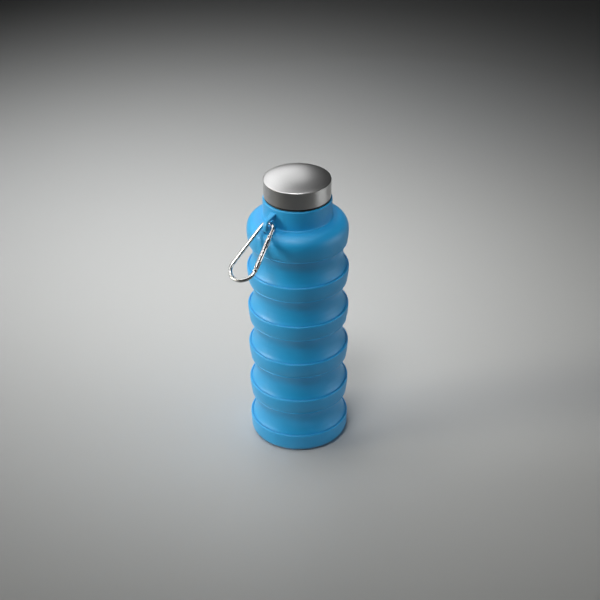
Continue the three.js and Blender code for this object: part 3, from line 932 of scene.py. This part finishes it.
def tube(name, points, radii, sides=28):
    """A closed tube in the carabiner's plane through the points, with a radius at each."""
    bm = bmesh.new()
    rows = []
    for i, p in enumerate(points):
        ahead = points[min(i + 1, len(points) - 1)] - points[max(i - 1, 0)]
        normal = ACROSS.cross(ahead.normalized()).normalized()
        spokes = [normal * math.cos(a) + ACROSS * math.sin(a) for a in even_turns(sides)]
        rows.append([bm.verts.new((p + spoke * radii[i]) * MM) for spoke in spokes])
    bridge_with_ends(bm, rows)
    return finished_mesh(name, bm)


def make_hook():
    """The bent wire, with a flat blade at its nose and its heel that the gate's forks close over."""
    hook = solid_from("hook_wire", tube("hook_wire", *with_collars(wire_path())))
    nose_start, heel_end = NOSE_END - BLADE_ROOT, HEEL_START + BLADE_ROOT
    blade = (BLADE_WIDTH, BLADE_THICKNESS)
    nose = boxed("nose", nose_start, BLADE_TIP - nose_start, *blade, bevel=BLADE_BEVEL)
    heel = boxed("heel", PIVOT_AT, heel_end - PIVOT_AT, *blade, bevel=BLADE_BEVEL)
    eye = rod_across("eye", PIVOT_AT, BLADE_WIDTH / 2, BLADE_THICKNESS, sides=40)
    combine(hook, "UNION", nose, heel, eye)
    # The latch rivet rests in an open notch; the pivot rivet passes through a hole.
    notch_length = 1.9
    notch = boxed("notch", LATCH_AT - notch_length / 2, notch_length, 3, 3, offset_x=0.75)
    hole = rod_across("hole", PIVOT_AT, RIVET_HOLE_R, 4)
    return combine(hook, "DIFFERENCE", notch, hole)


def gate_tube():
    """The gate's outer tube, with its ends rounded over."""
    length = GATE_END - GATE_START
    stations = [(0.0, -GATE_EDGE), (0.1, -0.14), (GATE_EDGE, 0.0), (length * 0.5, 0.0)]
    stations += [(length - GATE_EDGE, 0.0), (length - 0.1, -0.14), (length, -GATE_EDGE)]
    bm = bmesh.new()
    bridge_with_ends(bm, [circle(bm, GATE_R + shrink, z, even_turns(36)) for z, shrink in stations])
    return solid_from("gate_tube", finished_mesh("gate_tube", bm), side_frame(GATE_START))


def make_gate():
    past = 1.0
    through = 6
    bore = rod_along("bore", GATE_BORE_START, GATE_BORE_R, LOWER_SLOT_START - GATE_BORE_START + past)
    upper_length, lower_length = UPPER_SLOT_END - GATE_START + past, GATE_END - LOWER_SLOT_START + past
    upper = boxed("upper_slot", GATE_START - past, upper_length, through, SLOT_WIDTH)
    lower = boxed("lower_slot", LOWER_SLOT_START, lower_length, through, SLOT_WIDTH)
    latch = rod_across("latch_hole", LATCH_AT, RIVET_HOLE_R, through)
    pivot = rod_across("pivot_hole", PIVOT_AT, RIVET_HOLE_R, through)
    return combine(gate_tube(), "DIFFERENCE", bore, upper, lower, latch, pivot)


def make_rivet(name, distance):
    """A pin across the fork with a domed head at each end."""
    head_under = RIVET_HEAD_Y - 0.12
    head_top = RIVET_HEAD_Y + RIVET_HEAD_H
    half = [(0.0, head_top)]
    half += arc((0.0, head_under), (RIVET_HEAD_R, head_top - head_under), (80, 65, 50, 35, 20, 5))
    half += [(RIVET_HEAD_R - 0.05, head_under), (RIVET_R, head_under)]
    profile = half + [(r, -y) for r, y in reversed(half)]
    bm = bmesh.new()
    bridge(bm, [circle(bm, r, y, even_turns(28)) for r, y in profile])
    mesh = finished_mesh(name, bm)
    mesh.transform(Matrix.Rotation(math.pi / 2, 4, "X"))
    return solid_from(name, mesh, side_frame(distance))


takes_over(placed(make_hook(), "hook_wire", PLATED), "carabiner_hook", "carabiner")
takes_over(placed(make_gate(), "gate_tube", PLATED), "carabiner_gate", "gate")
pivot_rivet = placed(make_rivet("pivot_rivet", PIVOT_AT), "pivot_rivet", PLATED)
takes_over(pivot_rivet, "gate_pivot_rivet", "carabiner")
latch_rivet = placed(make_rivet("latch_rivet", LATCH_AT), "latch_rivet", PLATED)
takes_over(latch_rivet, "gate_latch_rivet", "gate")
for name in ("gate_spring", "gate_plunger"):
    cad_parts[name].material_slots[0].material = SPRING_STEEL


# ---------------------------------------------------------------- studio
AIM_Z = 0.1
FAR = 1.1


def studio_floor():
    mesh = bpy.data.meshes.new("studio_floor")
    bm = bmesh.new()
    bmesh.ops.create_grid(bm, x_segments=1, y_segments=1, size=6)
    bm.to_mesh(mesh)
    bm.free()
    floor = bpy.data.objects.new("studio_floor", mesh)
    bpy.context.scene.collection.objects.link(floor)
    mesh.materials.append(Finish("floor", (0.5, 0.508, 0.505), 0.6).material)
    floor.location.z = -0.0001


def studio_world():
    """A faint even light all round, and a backdrop for the camera: dark at the floor, paler higher up."""
    world = bpy.data.worlds.new("studio")
    bpy.context.scene.world = world
    world.use_nodes = True
    nodes, links = world.node_tree.nodes, world.node_tree.links
    ambient = nodes["Background"]
    ambient.inputs["Color"].default_value = (0.98, 1.0, 1.0, 1)
    ambient.inputs["Strength"].default_value = 0.02
    direction = node(nodes, "ShaderNodeTexCoord")
    split = node(nodes, "ShaderNodeSeparateXYZ")
    links.new(direction.outputs["Generated"], split.inputs["Vector"])
    fade = ramp(nodes, [(0.0, grey(0.008)), (0.35, grey(0.07))], "EASE")
    links.new(split.outputs["Z"], fade.inputs["Fac"])
    backdrop = node(nodes, "ShaderNodeBackground")
    links.new(fade.outputs["Color"], backdrop.inputs["Color"])
    mix = node(nodes, "ShaderNodeMixShader")
    rays = node(nodes, "ShaderNodeLightPath")
    links.new(rays.outputs["Is Camera Ray"], mix.inputs["Fac"])
    links.new(ambient.outputs["Background"], mix.inputs[1])
    links.new(backdrop.outputs["Background"], mix.inputs[2])
    links.new(mix.outputs["Shader"], nodes["World Output"].inputs["Surface"])


def around(azimuth, elevation, distance):
    """A place round the bottle. Azimuth counts from the front to the right, elevation from level up."""
    a, e = math.radians(azimuth), math.radians(elevation)
    flat = distance * math.cos(e)
    return (flat * math.sin(a), -flat * math.cos(a), AIM_Z + distance * math.sin(e))


def softbox(name, position, target, size_x, size_y, watts, spread, colour=(1, 1, 1)):
    """A rectangular light whose grid, the spread in degrees, keeps its light together."""
    light = bpy.data.lights.new(name, "AREA")
    light.shape = "RECTANGLE"
    light.size = size_x
    light.size_y = size_y
    light.energy = watts
    light.color = colour
    light.spread = math.radians(spread)
    obj = bpy.data.objects.new(name, light)
    bpy.context.scene.collection.objects.link(obj)
    obj.location = position
    obj.rotation_euler = (Vector(target) - Vector(position)).to_track_quat("-Z", "Y").to_euler()


def studio_lights():
    body, cap_height = (0, 0, 0.14), (0, 0, 0.2)
    warm = (1.0, 0.95, 0.84)
    # Two gridded boxes make the pool of light on the floor; the room beyond it stays dim.
    softbox("pool_above", (-0.03, 0.251, 1.2), (-0.03, 0.25, 0), 0.35, 0.35, 0.25, 40)
    softbox("pool_left", (-0.55, 0.18, 1.1), (-0.17, 0.36, 0), 0.35, 0.35, 0.62, 44)
    softbox("key_left", around(280, 13, FAR), body, 0.6, 0.38, 0.52, 26, warm)
    softbox("key_back_left", around(250, 15, FAR), body, 0.5, 0.5, 0.12, 28)
    softbox("fill_right", around(84, 3, FAR), body, 1.0, 0.35, 0.4, 50)
    softbox("top_front", around(338, 66, FAR), body, 0.4, 0.35, 0.18, 24)
    # A small pool on the floor at the right runs a bright stripe down the cap's side.
    softbox("pool_right", (0.42, 0.0, 0.2), (0.42, 0.001, 0), 0.12, 0.34, 0.16, 60)
    # Two cards behind give the dome its bright left and its grey middle.
    softbox("card_back_left", around(221, 41, 1.2), cap_height, 1.0, 0.85, 0.85, 70)
    softbox("card_back", around(187, 29, 1.2), cap_height, 0.4, 0.65, 0.17, 70)


def camera():
    """Looks down at the bottle from the front, about a metre away, with a trace of roll."""
    look_down = math.radians(32.03)
    roll = -0.0075
    data = bpy.data.cameras.new("camera")
    data.sensor_width = 36.0
    data.lens = 85.08
    data.clip_start = 0.01
    data.clip_end = 50
    obj = bpy.data.objects.new("camera", data)
    bpy.context.scene.collection.objects.link(obj)
    obj.location = (0.0012, -0.8381, 0.6308)
    turn = Matrix.Rotation(math.pi / 2 - look_down, 4, "X") @ Matrix.Rotation(roll, 4, "Z")
    obj.rotation_euler = turn.to_euler()
    bpy.context.scene.camera = obj


camera()
studio_floor()
studio_world()
studio_lights()
bpy.context.scene.view_settings.view_transform = "Standard"
